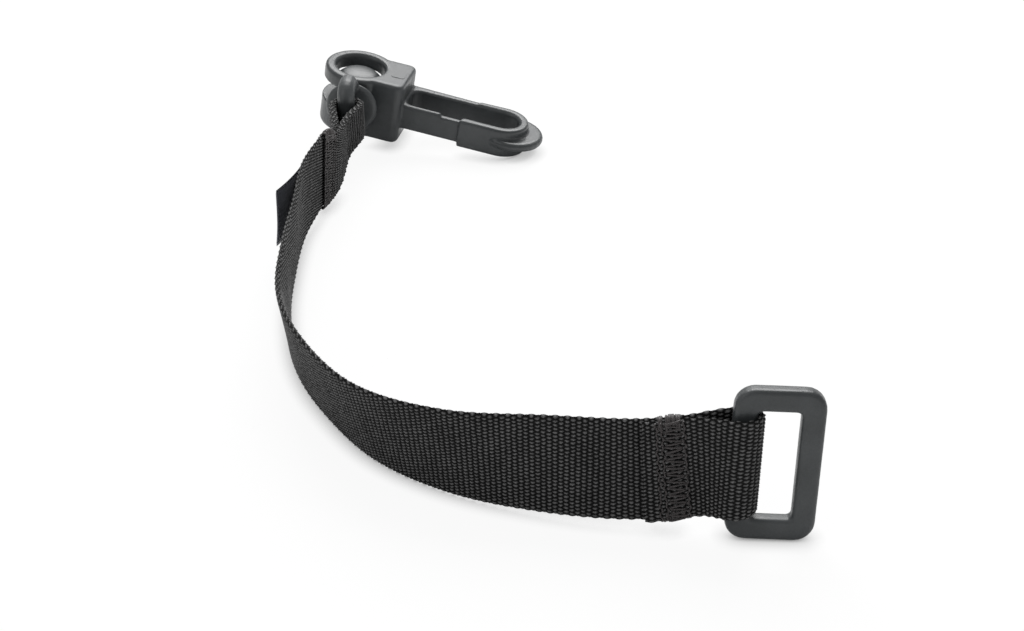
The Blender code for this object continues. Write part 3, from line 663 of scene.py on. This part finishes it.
@dataclass
class FoldedCourse:
    """The whole length of webbing: ring tail, ring loop, run, eye loop and hook tail."""

    strap: StrapCourse
    ring_tail: float = 21.4
    hook_tail: float = 31.5
    ring_taper: float = 11.0
    eye_taper: float = 14.0
    ring_radius: float = 3.8
    eye_radius: float = 4.155
    step: float = 0.25
    arc_steps: int = 32

    def half_stack(self, distance: float) -> float:
        """Half the distance between the middles of two layers."""
        return (self.strap.layer(self.strap.at(distance).width) + self.strap.seat_gap) / 2

    def spread(self, distance: float, from_bar: float, taper: float, radius: float) -> float:
        """Half the distance between two layers that part to pass round a bar."""
        near = self.half_stack(distance)
        return near + (radius - near) * (1 - smooth_step(from_bar / taper))

    def ring_spread(self, distance: float) -> float:
        """Spread of the layers near the ring."""
        return self.spread(distance, distance, self.ring_taper, self.ring_radius)

    def eye_spread(self, distance: float) -> float:
        """Spread of the layers near the eye."""
        return self.spread(distance, self.strap.length - distance, self.eye_taper, self.eye_radius)

    def points(self) -> list[Point]:
        """Distances along the strap with their offsets, plus being outside the bend."""
        length, course = self.strap.length, []
        count = int(self.ring_tail / self.step)
        for index in range(count):
            distance = self.ring_tail * (1 - index / count)
            course.append((distance, self.half_stack(distance) + self.ring_spread(distance)))
        ring_side = self.half_stack(0.0)
        course += [(x, y + ring_side)
                   for x, y in arc_points((0, 0), self.ring_radius, pi / 2, 3 * pi / 2, self.arc_steps)]
        count = int(length / self.step)
        for index in range(1, count):
            distance = length * index / count
            offset = self.half_stack(distance) - self.ring_spread(distance)
            course.append((distance, offset + self.eye_spread(distance) - self.half_stack(distance)))
        eye_side = -self.half_stack(length)
        course += [(length + x, y + eye_side)
                   for x, y in arc_points((0, 0), self.eye_radius, pi / 2, -pi / 2, self.arc_steps)]
        count = int(self.hook_tail / self.step)
        for index in range(1, count + 1):
            distance = length - self.hook_tail * index / count
            course.append((distance, -self.half_stack(distance) - self.eye_spread(distance)))
        return course

    def stations(self, pitch: float) -> list[tuple[float, float, float, float, float]]:
        """Even stations along the webbing.

        Args:
            pitch: their spacing in millimetres.

        Returns:
            For each: run along the webbing, distance, offset, and the course's direction in both.
        """
        course = self.points()
        runs = [0.0]
        for (x0, y0), (x1, y1) in zip(course, course[1:]):
            runs.append(runs[-1] + hypot(x1 - x0, y1 - y0))
        count, cursor, result = int(round(runs[-1] / pitch)), 0, []
        for index in range(count + 1):
            target = runs[-1] * index / count
            while cursor < len(runs) - 2 and runs[cursor + 1] < target:
                cursor += 1
            share = (target - runs[cursor]) / (runs[cursor + 1] - runs[cursor])
            (x0, y0), (x1, y1) = course[cursor], course[cursor + 1]
            size = hypot(x1 - x0, y1 - y0)
            result.append((target, x0 + (x1 - x0) * share, y0 + (y1 - y0) * share,
                           (x1 - x0) / size, (y1 - y0) / size))
        return result


# Pieces

@dataclass
class Webbing:
    """Plain-woven webbing: warp yarns that pass over and under thick weft ribs."""

    course: FoldedCourse
    finish: Material
    rib_pitch: float = 1.3
    samples_per_rib: int = 3
    yarns: int = 52
    bead: float = 0.14
    groove: float = 0.28
    edge_wave: float = 0.16
    selvedge: float = 0.3
    pressed_run: float = 9.0
    pressed_share: float = 0.45
    rim_start: float = 0.965
    rim_run: float = 0.035
    rim_thinning: float = 0.5

    def build(self) -> Item:
        """The woven piece, with each point's rib and yarn kept for its finish."""
        strap, skin, loops, weave = self.course.strap, Skin(), [], []
        across = self.yarns + 1
        stations = self.course.stations(self.rib_pitch / self.samples_per_rib)
        for run, distance, offset, step_run, step_rise in stations:
            here = strap.at(distance)
            layer = strap.layer(here.width)
            left = smooth_step((stations[-1][0] - run) / self.pressed_run)
            press = self.pressed_share + (1 - self.pressed_share) * left
            depth = layer / 2 * press
            offset += (1 - press) * (layer + strap.seat_gap) / 2
            middle = here.point + here.normal * offset
            face = here.normal * step_run - here.along * step_rise
            beat, half, loop = run / self.rib_pitch, here.width / 2, []
            wave = self.edge_wave * cos(pi * beat)
            for side in (1, -1):
                order = range(across) if side > 0 else reversed(range(across))
                for yarn in order:
                    share = 2 * yarn / self.yarns - 1
                    edge = max(0.0, (abs(share) - self.rim_start) / self.rim_run)
                    thinned = depth - self.rim_thinning * edge * depth
                    through = side * (thinned + self.height(beat, yarn, side))
                    loop.append(middle + here.up * share * (half - self.selvedge) + face * through)
                    weave += (beat, yarn + (side < 0), 0.0)
                loop.append(middle + here.up * side * (half + wave * side))
                weave += (beat, self.yarns * (side > 0) + (side < 0), 0.0)
            loops.append([strap.place(point) for point in loop])
        skin.sweep(loops, capped=False)
        last = (len(loops) - 1) * len(loops[0])
        skin.faces += self.end_cap(0, across, True) + self.end_cap(last, across, False)
        item = skin.piece("webbing_weave", self.finish)
        marks = item.data.attributes.new("weave", "FLOAT_VECTOR", "POINT")
        marks.data.foreach_set("vector", weave)
        return dress(item, Body.STRAP, "webbing", "webbing")

    def height(self, beat: float, yarn: int, side: int) -> float:
        """Height of a yarn above the mean face, in millimetres.

        Args:
            beat: place along the webbing in ribs.
            yarn: number of the yarn across the webbing.
            side: 1 on the outer face and -1 on the inner one.

        Returns:
            The height, which alternates from yarn to yarn and from rib to rib.
        """
        over = self.bead * cos(pi * (beat + yarn)) * side
        return over - self.groove * (1 - cos(2 * pi * beat)) / 2

    @staticmethod
    def end_cap(base: int, across: int, flip: bool) -> list[tuple[int, ...]]:
        """Faces that close one cut end of the webbing.

        Args:
            base: number of the end's first point.
            across: points across the webbing.
            flip: whether the end faces backwards along it.

        Returns:
            Corner numbers of each face.
        """
        end = base + 2 * across
        faces = [(base + k, base + k + 1, end - k - 1, end - k) for k in range(across - 1)]
        faces += [(end + 1, base, end), (base + across - 1, base + across, base + across + 1)]
        return [tuple(reversed(face)) for face in faces] if flip else faces


@dataclass(frozen=True)
class Stitch:
    """How one kind of stitch bows above the face and bites into it at its ends, in millimetres."""

    level: float
    rise: float
    swell: float
    dip: float
    bite: int
    steps: int

    def lift(self, share: float) -> float:
        """Height above the face at a share of the stitch's length."""
        bow = sin(pi * share)
        return self.level + self.rise * bow ** self.swell - self.dip * (1 - bow) ** self.bite

    def shares(self) -> list[float]:
        """Even shares of the stitch's length, both ends included."""
        return [index / self.steps for index in range(self.steps + 1)]


@dataclass
class Bartack:
    """Dense stitching through both layers: rows of long stitches between two chains of short ones."""

    course: FoldedCourse
    node: str
    start: float
    side: int
    finish: Material
    seed: int
    length: float = 6.6
    pitch: float = 0.85
    thread: float = 0.24
    lump: float = 0.6
    lump_threads: int = 16
    sink: float = 0.0
    pressed: float = 0.0
    press_reach: float = 1.4
    long_stitch: Stitch = Stitch(level=0.05, rise=0.22, swell=0.5, dip=0.2, bite=6, steps=7)
    long_span: float = 0.96
    long_reach: Point = (0.12, 0.72)
    long_slant: Point = (0.012, 0.03)
    long_girth: Point = (0.85, 1.15)
    jitter: float = 0.2
    chain_stitch: Stitch = Stitch(level=0.02, rise=0.26, swell=1.0, dip=0.16, bite=4, steps=5)
    chain_span: float = 0.97
    chain_pitch: float = 1.35
    chain_fill: float = 0.98
    chain_bend: float = 0.25
    chain_girth: float = 0.9
    chain_places: tuple = ((0.05, 0.12), (0.80, 0.25), (0.97, 0.2))
    lower_lump: float = 0.45
    lump_places: Point = (0.08, 0.92)
    lump_drift: float = 0.9
    lump_reach: Point = (0.08, 0.22)
    lump_girth: Point = (0.95, 1.35)
    lump_lift: float = 0.1
    lump_steps: int = 8

    def face(self, distance: float, height: float, turn: float, lift: float) -> Vector:
        """A point on the stitched stack.

        Args:
            distance: place along the strap in millimetres.
            height: place across it, from -1 at the lower edge to 1 at the upper one.
            turn: 1 on the outer face, -1 on the inner one, and between them over an edge.
            lift: height above the face in millimetres.

        Returns:
            The point in the row frame.
        """
        strap = self.course.strap
        here = strap.at(distance)
        layer = strap.layer(here.width)
        middle = self.side * self.course.half_stack(distance)
        press = self.pressed * (1 - smooth_step((distance - self.start) / (self.length * self.press_reach)))
        sink = self.sink + (press if turn * self.side > 0 else 0.0)
        through = middle + turn * (layer + strap.seat_gap / 2 + lift - sink)
        return strap.place(here.point + here.normal * through + here.up * height * here.width / 2)

    def long_stitches(self, skin: Skin, draw: random.Random) -> None:
        """Stitches along the strap, side by side from the lower edge to the upper one.

        Args:
            skin: what collects the threads.
            draw: where their small differences come from.
        """
        rows = int(self.course.strap.full_width / self.pitch)
        for turn in (1, -1):
            for row in range(rows):
                height = -self.long_span + 2 * self.long_span * row / (rows - 1)
                slant = draw.uniform(*self.long_slant) * (1 if row % 2 else -1)
                first, last = [self.start + self.length * place + draw.uniform(-self.jitter, self.jitter)
                               for place in self.long_reach]
                path = [self.face(first + (last - first) * share, height + slant * (2 * share - 1), turn,
                                  self.long_stitch.lift(share)) for share in self.long_stitch.shares()]
                skin.tube(path, self.thread * draw.uniform(*self.long_girth) * MM)

    def chains(self, skin: Skin, draw: random.Random) -> None:
        """Rows of short stitches across the strap, at both ends of the long ones.

        Args:
            skin: what collects the threads.
            draw: where their small differences come from.
        """
        rows = int(self.course.strap.full_width / (self.pitch * self.chain_pitch))
        for turn in (1, -1):
            for place, sway in self.chain_places:
                for row in range(rows):
                    low = -self.chain_span + 2 * self.chain_span * row / rows
                    high = low + 2 * self.chain_span / rows * self.chain_fill
                    middle = self.start + self.length * place + draw.uniform(-sway, sway)
                    bend = self.chain_bend * (1 if row % 2 else -1)
                    path = [self.face(middle + bend * sin(pi * share), low + (high - low) * share, turn,
                                      self.chain_stitch.lift(share)) for share in self.chain_stitch.shares()]
                    skin.tube(path, self.thread * self.chain_girth * MM)

    def lumps(self, skin: Skin, draw: random.Random) -> None:
        """Threads bunched over the upper and the lower edge.

        Args:
            skin: what collects the threads.
            draw: where their small differences come from.
        """
        width = self.course.strap.full_width
        for edge, size in ((1, self.lump), (-1, self.lump * self.lower_lump)):
            for _ in range(self.lump_threads):
                place = self.start + self.length * draw.uniform(*self.lump_places)
                drift = draw.uniform(-self.lump_drift, self.lump_drift)
                reach = draw.uniform(*self.lump_reach)
                crown = 1 - abs(2 * (place - self.start) / self.length - 1) ** 2
                path = []
                for step in range(self.lump_steps + 1):
                    swing = pi * step / self.lump_steps
                    height = edge * (1 - reach + reach * sin(swing) + 2 * size / width * crown * sin(swing))
                    path.append(self.face(place + drift * (step / self.lump_steps - 0.5), height, cos(swing),
                                          self.lump_lift * abs(cos(swing))))
                skin.tube(path, self.thread * draw.uniform(*self.lump_girth) * MM)

    def build(self) -> Item:
        """The stitching as one piece of thread."""
        skin, draw = Skin(), random.Random(self.seed)
        self.long_stitches(skin, draw)
        self.chains(skin, draw)
        self.lumps(skin, draw)
        return dress(skin.piece(self.node + "_threads", self.finish), Body.STRAP, self.node, self.node)


@dataclass
class Label:
    """A blank satin label, sewn to the outer face at its root, its free end standing off."""

    course: FoldedCourse
    finish: Material
    thread: Material
    from_eye: float = 40.0
    length: float = 20.0
    height: float = 18.0
    thickness: float = 0.42
    flare: float = 4.6
    rise: float = 0.6
    curl: float = 0.35
    seat: float = 0.12
    steps: int = 40
    spans: int = 16
    curl_level: float = 0.4
    ripple: float = 0.12
    ripple_along: float = 6.0
    ripple_across: float = 2.0
    rim_power: int = 8
    seam_share: float = 0.94
    stitches: int = 11
    stitch_radius: float = 0.16
    stitch_inset: float = 1.2
    stitch_gap: float = 0.08
    stitch_fill: float = 0.84
    stitch_rise: float = 0.2
    stitch_sink: float = 0.1
    stitch_steps: int = 6

    def stand(self, width: float, share: float) -> float:
        """Height of the ribbon's middle above the strap's, at a share of its length."""
        strap = self.course.strap
        return strap.layer(width) / 2 + strap.seat_gap + self.seat + self.flare * share * share

    def seam(self) -> Item:
        """The row of stitches that holds the label's root."""
        strap, skin = self.course.strap, Skin()
        here = strap.at(strap.length - self.from_eye - self.stitch_inset)
        level = self.stand(here.width, self.stitch_inset / self.length) + self.thickness / 2
        reach = self.height * self.seam_share / self.stitches
        for index in range(self.stitches):
            foot = self.rise - self.height * self.seam_share / 2 + index * reach
            path = []
            for step in range(self.stitch_steps + 1):
                up = foot + reach * (self.stitch_gap + self.stitch_fill * step / self.stitch_steps)
                out = level + self.stitch_rise * sin(pi * step / self.stitch_steps) - self.stitch_sink
                path.append(strap.place(here.point + here.up * up + here.normal * out))
            skin.tube(path, self.stitch_radius * MM)
        return dress(skin.piece("label_seam", self.thread), Body.STRAP, "label_tag")

    def build(self) -> Item:
        """The ribbon as one thin closed sheet, with the seam at its root."""
        strap, skin, loops = self.course.strap, Skin(), []
        across = [2 * index / self.spans - 1 for index in range(self.spans + 1)]
        for index in range(self.steps + 1):
            share = index / self.steps
            here = strap.at(strap.length - self.from_eye - self.length * share)
            stand = self.stand(here.width, share)
            section = []
            for face in (1, -1):
                for place in (across if face > 0 else reversed(across)):
                    ripple = self.ripple * sin(self.ripple_along * share + self.ripple_across * place)
                    wave = self.curl * share * (place * place - self.curl_level) + ripple
                    rim = self.thickness / 2 * sqrt(max(0.0, 1 - place ** self.rim_power))
                    section.append(here.point + here.up * (self.rise + place * self.height / 2)
                                   + here.normal * (stand + wave + face * rim))
            loops.append([strap.place(point) for point in section[:-1]])
        skin.sweep(loops)
        self.seam()
        item = skin.piece("label_ribbon", self.finish)
        return dress(item, Body.STRAP, "label_tag", "label_tag")


@dataclass
class MouldedFitting:
    """A nylon moulding whose blended surface comes from its solid."""

    node: str
    body: Body
    finish: Material
    voxel: float = 0.3
    smoothing: int = 4
    easing: float = 0.5

    def build(self) -> Item:
        """The moulded piece, with the small blends that a mould gives."""
        item = add_to_scene(self.node + "_moulding", frame["nodes"][self.node].data.copy())
        item.data.materials.clear()
        remesh = item.modifiers.new("blend", "REMESH")
        remesh.mode, remesh.voxel_size = "VOXEL", self.voxel * MM
        ease = item.modifiers.new("ease", "SMOOTH")
        ease.factor, ease.iterations = self.easing, self.smoothing
        baked_mesh(item).materials.append(self.finish)
        return dress(item, self.body, self.node, self.node)


@dataclass
class DeckPad:
    """A bare pad that covers the small recess of the hook's deck."""

    strap: StrapCourse
    finish: Material
    length: float = 4.4
    width: float = 5.4
    centre: float = 12.65
    deck: float = 20.0
    corner: float = 0.9
    sunk: float = 0.5
    rise: float = 0.1
    corner_steps: int = 6

    def build(self) -> Item:
        """The pad as one low block with rounded corners."""
        place, skin, outline = self.strap.swivel.hook(), Skin(), []
        for quarter, (x, y) in enumerate(((1, 1), (-1, 1), (-1, -1), (1, -1))):
            middle = (x * (self.length / 2 - self.corner), y * (self.width / 2 - self.corner))
            outline += arc_points(middle, self.corner, quarter * pi / 2, (quarter + 1) * pi / 2,
                                  self.corner_steps)
        skin.sweep([[self.strap.place(place @ Vector((self.centre + x, y, self.deck + level)))
                     for x, y in outline] for level in (-self.sunk, self.rise)])
        item = skin.piece("deck_pad", self.finish)
        item.data.set_sharp_from_angle(angle=CREASE)
        return dress(item, Body.HOOK, "hook_body")


@dataclass
class SwivelHead:
    """The barrel that turns in the hook's window, with a domed top and a bore for the stem."""

    strap: StrapCourse
    finish: Material
    radius: float = 6.95
    shoulder: float = 4.1
    dome: float = 1.9
    edge: float = 0.9
    bore: float = 2.9
    bore_reach: Point = (-1.0, 9.0)
    bore_sides: int = 48
    sides: int = 96
    edge_steps: int = 7
    dome_steps: int = 12

    def profile(self) -> list[Point]:
        """Radius and height of the barrel's outline from the lower pole to the upper one."""
        flat, quarter = self.radius - self.edge, pi / 2
        upper = [(self.radius, 0.0)]
        upper += arc_points((flat, self.shoulder - self.edge), self.edge, 0.0, quarter, self.edge_steps)
        for step in range(1, self.dome_steps):
            turn = quarter * step / self.dome_steps
            upper.append((flat * cos(turn), self.shoulder + self.dome * sin(turn)))
        return [(x, -y) for x, y in reversed(upper[1:])] + upper

    def build(self) -> Item:
        """The barrel on the window's axis."""
        swivel, skin = self.strap.swivel, Skin()
        place = swivel.hook() @ Matrix.Translation((0, 0, swivel.stem_height))
        loops = []
        for radius, height in self.profile():
            loops.append([self.strap.place(place @ Vector((radius * cos(turn), radius * sin(turn), height)))
                          for turn in (2 * pi * k / self.sides for k in range(self.sides))])
        skin.sweep(loops)
        item = skin.piece("swivel_head_barrel", self.finish)
        stem = [self.strap.place(place.translation + swivel.outward() * reach) for reach in self.bore_reach]
        bore = Skin()
        bore.tube(stem, self.bore * MM, self.bore_sides)
        cutter = bore.piece("swivel_head_bore", self.finish)
        cut = item.modifiers.new("bore", "BOOLEAN")
        cut.object, cut.solver = cutter, "EXACT"
        mesh = baked_mesh(item)
        bpy.data.objects.remove(cutter)
        mesh.set_sharp_from_angle(angle=CREASE)
        return dress(item, Body.HEAD, "swivel_head", "swivel_head")


@dataclass(frozen=True)
class Lamp:
    """A square soft lamp, in metres and watts."""

    name: str
    place: tuple
    target: tuple
    size: float
    power: float

    def hang(self) -> None:
        """Add the lamp to the scene, pointing at its target."""
        light = bpy.data.lights.new(self.name, "AREA")
        light.shape, light.size, light.energy = "SQUARE", self.size, self.power
        item = add_to_scene(self.name, light)
        item.location = self.place
        item.rotation_euler = (Vector(self.target) - Vector(self.place)).to_track_quat("-Z", "Y").to_euler()


@dataclass(frozen=True)
class Studio:
    """Pale floor, soft light and the camera of the picture."""

    camera_place: tuple = (0.0, -388.08, 242.5)
    camera_drop: float = radians(32)
    clip: Point = (0.01, 20.0)
    sensor: float = 36.0
    picture_width_px: float = 1024.0
    focal_length_px: float = 1700.0
    overhead_lamp: Lamp = Lamp("overhead_lamp", (0.05, 0.7, 0.82), (0, 0, 0), size=0.8, power=16.0)
    left_lamp: Lamp = Lamp("left_lamp", (-0.7, -0.5, 0.55), (0, 0, 0.02), size=0.5, power=1.1)
    sky_light: float = 0.5
    floor_size: float = 6.0
    floor_tone: float = 0.84
    shadow_reach: float = 0.0045
    plain_share: float = 0.92
    shadow_edge: float = 1.4
    shadow_floor: float = 0.1

    def floor(self) -> None:
        """A wide pale floor that stays white to the camera, with painted contact shadows where ambient
        occlusion darkens its glow, and a share of real soft shadows.
        """
        half = self.floor_size / 2
        sketch = NodeSketch("studio_floor")
        sketch.surface(Base_Color=(*(self.floor_tone,) * 3, 1.0), Roughness=0.9, Specular_IOR_Level=0.1)
        # Painted contact shadow: ambient occlusion close to the objects dims the floor's glow for the camera.
        near = sketch.add("ShaderNodeAmbientOcclusion", {"Distance": self.shadow_reach}, samples=8)
        painted_shadow = sketch.math("POWER", sketch.math("SUBTRACT", 1.0, near.outputs["AO"]), self.shadow_edge)
        glow_with_painted_shadow = sketch.add("ShaderNodeEmission", {"Strength": sketch.span(painted_shadow, 1.0, self.shadow_floor)})
        view = sketch.add("ShaderNodeLightPath").outputs["Is Camera Ray"]
        share = sketch.math("MULTIPLY", view, self.plain_share)
        blend = sketch.add("ShaderNodeMixShader", {0: share, 1: sketch.shader.outputs["BSDF"],
                                                   2: glow_with_painted_shadow.outputs["Emission"]})
        sketch.tree.links.new(blend.outputs["Shader"], sketch.tree.nodes["Material Output"].inputs["Surface"])
        corners = [Vector((x * half, y * half, 0)) for x, y in ((-1, -1), (1, -1), (1, 1), (-1, 1))]
        item = mesh_piece("studio_floor", corners, [(0, 1, 2, 3)], sketch.material)

    def world(self) -> None:
        """White surroundings, at full strength for the camera and softer as light."""
        world = bpy.data.worlds.new("studio_world")
        bpy.context.scene.world = world
        world.use_nodes = True
        tree = world.node_tree
        path = tree.nodes.new("ShaderNodeLightPath")
        level = tree.nodes.new("ShaderNodeMapRange")
        level.inputs["To Min"].default_value = self.sky_light
        tree.links.new(path.outputs["Is Camera Ray"], level.inputs["Value"])
        sky = tree.nodes["Background"]
        sky.inputs["Color"].default_value = (1.0, 1.0, 1.0, 1.0)
        tree.links.new(level.outputs["Result"], sky.inputs["Strength"])

    def camera(self, strap: StrapCourse) -> None:
        """The camera at the picture's viewpoint.

        Args:
            strap: what places it in the row frame.
        """
        data = bpy.data.cameras.new("picture_camera")
        data.sensor_width, data.sensor_fit = self.sensor, "HORIZONTAL"
        data.lens = self.focal_length_px / self.picture_width_px * self.sensor
        data.clip_start, data.clip_end = self.clip
        item = add_to_scene("picture_camera", data)
        item.location = strap.place(Vector(self.camera_place))
        item.rotation_euler = (pi / 2 - self.camera_drop, 0, 0)
        bpy.context.scene.camera = item

    def build(self, strap: StrapCourse) -> None:
        """Set the whole stage."""
        bpy.context.scene.view_settings.view_transform = "Standard"
        self.floor()
        self.world()
        self.overhead_lamp.hang()
        self.left_lamp.hang()
        self.camera(strap)


def main() -> None:
    """Build every piece in order."""
    logging.basicConfig(level=logging.INFO, format="%(name)s: %(message)s")
    strap = StrapCourse()
    folded = FoldedCourse(strap)
    Webbing(folded, WovenFinish().make()).build()
    for node, body, smoothing in (("rectangular_ring", Body.RING, 2), ("swivel_eye", Body.EYE, 4),
                                  ("hook_body", Body.HOOK, 9)):
        MouldedFitting(node, body, NylonFinish(node + "_nylon").make(), smoothing=smoothing).build()
    SwivelHead(strap, NylonFinish("swivel_head_nylon").make()).build()
    DeckPad(strap, NylonFinish("deck_pad_nylon").make()).build()
    thread = ThreadFinish().make()
    Bartack(folded, "ring_end_bartack", start=11.6, side=1, finish=thread, seed=11).build()
    Bartack(folded, "hook_end_bartack", start=strap.length - 31.6, side=-1, finish=thread, seed=23,
            thread=0.16, lump=1.3, lump_threads=26, sink=0.14, pressed=0.95).build()
    Label(folded, SatinFinish().make(), thread).build()
    Studio().build(strap)


if __name__ == "__main__":
    main()
